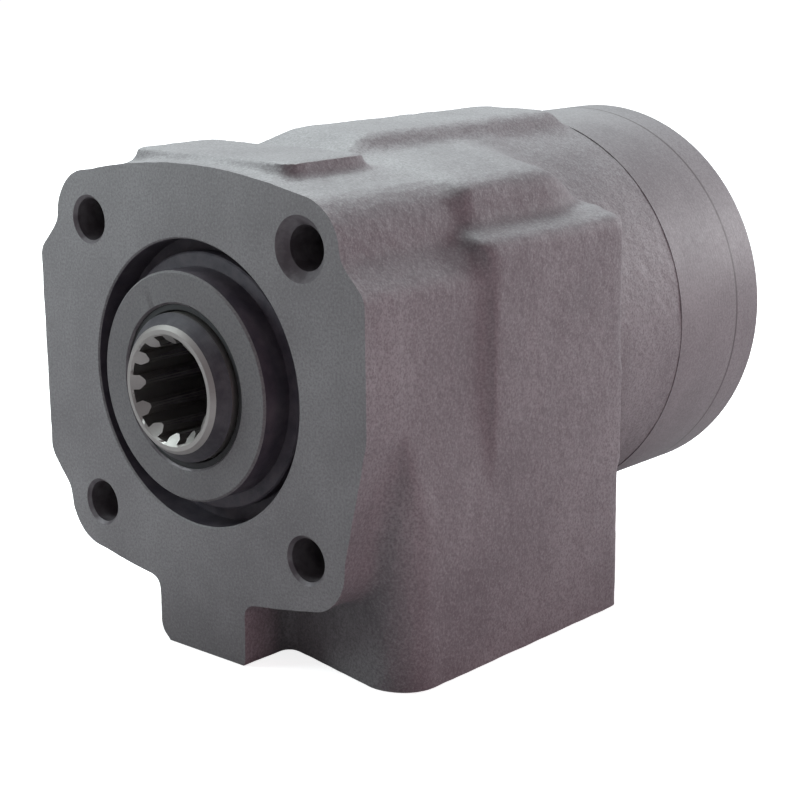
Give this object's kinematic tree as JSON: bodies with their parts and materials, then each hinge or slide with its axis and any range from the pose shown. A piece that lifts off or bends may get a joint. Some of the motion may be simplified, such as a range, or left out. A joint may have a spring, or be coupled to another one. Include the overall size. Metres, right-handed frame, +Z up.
{
  "type": "orbital steering unit",
  "caption": "Hydraulic orbital steering unit: cast valve housing with port block and splined input, round gear set and end cover, with turning spool, sleeve, cardan and orbiting rotor.",
  "frame": {"origin": "centre of the mounting face on the shaft axis", "axes": "+Y along the shaft from the mounting face to the end cover, +Z up, away from the port face, +X to the right seen from the steering column"},
  "size_m": [0.094, 0.1406, 0.1003],
  "materials": {
    "cast_paint": "mid grey paint over cast iron",
    "machined_paint": "mid grey paint over turned steel",
    "bare_steel": "ground and oiled steel",
    "hard_steel": "hardened bearing steel",
    "spring_steel": "blued spring steel",
    "black_screw": "black oxide",
    "zinc_plug": "zinc plated",
    "washer_copper": "soft copper",
    "seal_rubber": "nitrile rubber",
    "seal_ptfe": "filled bearing plastic"
  },
  "bodies": {
    "housing": {"housing": "cast_paint", "distributor_plate": "machined_paint", "gear_rim": "machined_paint", "end_cover": "machined_paint", "dust_seal": "seal_rubber", "shaft_seal_ring": "seal_ptfe", "shaft_seal_oring": "seal_rubber", "front_race": "hard_steel", "housing_oring": "seal_rubber", "plate_oring": "seal_rubber", "cover_oring": "seal_rubber", "cover_washers": "washer_copper", "cover_screws": "black_screw", "pin_screw": "black_screw", "check_bush": "bare_steel", "suction_pins": "bare_steel", "relief_plug": "zinc_plug", "shock_plugs": "zinc_plug", "plug_seals": "washer_copper", "relief_seat": "bare_steel", "relief_adjuster": "bare_steel", "relief_spring": "spring_steel", "shock_seats": "bare_steel", "shock_springs": "spring_steel"},
    "sleeve": {"sleeve": "bare_steel", "spring_ring": "bare_steel", "cross_pin": "hard_steel", "flat_springs": "spring_steel", "curved_springs": "spring_steel", "rear_race": "hard_steel"},
    "spool": {"spool": "bare_steel"},
    "needle_cage": {"bearing_cage": "bare_steel", "bearing_needles": "hard_steel"},
    "spacer": {"spacer_disc": "bare_steel"},
    "rotor": {"rotor": "bare_steel"},
    "cardan": {"cardan_shaft": "bare_steel"},
    "check_ball": {"check_ball": "hard_steel"},
    "suction_ball_left": {"suction_ball_left": "hard_steel"},
    "suction_ball_right": {"suction_ball_right": "hard_steel"},
    "relief_poppet": {"relief_poppet": "hard_steel"},
    "shock_ball_front": {"shock_ball_front": "hard_steel"},
    "shock_ball_rear": {"shock_ball_rear": "hard_steel"}
  },
  "joints": [
    {"name": "sleeve_spin", "type": "hinge", "parent": "housing", "child": "sleeve", "pos_m": [0, 0, 0], "axis": [0, 1, 0], "continuous": true},
    {"name": "spool_turn", "type": "hinge", "parent": "sleeve", "child": "spool", "pos_m": [0, 0, 0], "axis": [0, 1, 0], "range_deg": [-8, 8], "stiffness_Nm_per_rad": 3, "deforming": ["flat_springs", "curved_springs"]},
    {"name": "cage_spin", "type": "hinge", "parent": "housing", "child": "needle_cage", "pos_m": [0, 0, 0], "axis": [0, 1, 0], "continuous": true},
    {"name": "rotor_orbit", "type": "hinge", "parent": "housing", "child": "spacer", "pos_m": [0, 0, 0], "axis": [0, 1, 0], "continuous": true},
    {"name": "rotor_spin", "type": "hinge", "parent": "spacer", "child": "rotor", "pos_m": [0, 0.1179, -0.0039], "axis": [0, 1, 0], "continuous": true},
    {"name": "cardan_spin", "type": "hinge", "parent": "spacer", "child": "cardan", "pos_m": [0, 0.05, 0], "axis": [0, 0.9984, -0.0573], "continuous": true},
    {"name": "check_ball_lift", "type": "slide", "parent": "housing", "child": "check_ball", "axis": [0, 1, 0], "range_m": [0, 0.0015]},
    {"name": "suction_left_lift", "type": "slide", "parent": "housing", "child": "suction_ball_left", "axis": [0, 1, 0], "range_m": [0, 0.0011]},
    {"name": "suction_right_lift", "type": "slide", "parent": "housing", "child": "suction_ball_right", "axis": [0, 1, 0], "range_m": [0, 0.0011]},
    {"name": "relief_lift", "type": "slide", "parent": "housing", "child": "relief_poppet", "axis": [0, 0, -1], "range_m": [0, 0.0015], "stiffness_N_per_m": 800, "springref_m": -0.002, "deforming": ["relief_spring"]},
    {"name": "shock_front_lift", "type": "slide", "parent": "housing", "child": "shock_ball_front", "axis": [0, 0, -1], "range_m": [0, 0.001], "stiffness_N_per_m": 300, "springref_m": -0.002, "deforming": ["shock_springs"]},
    {"name": "shock_rear_lift", "type": "slide", "parent": "housing", "child": "shock_ball_rear", "axis": [0, 0, -1], "range_m": [0, 0.001], "stiffness_N_per_m": 300, "springref_m": -0.002, "deforming": ["shock_springs"]}
  ],
  "couplings": [
    {"joint": "cage_spin", "follows": "sleeve_spin", "ratio": 0.5},
    {"joint": "rotor_orbit", "follows": "sleeve_spin", "ratio": -6},
    {"joint": "rotor_spin", "follows": "sleeve_spin", "ratio": 7},
    {"joint": "cardan_spin", "follows": "sleeve_spin", "ratio": 7}
  ]
}
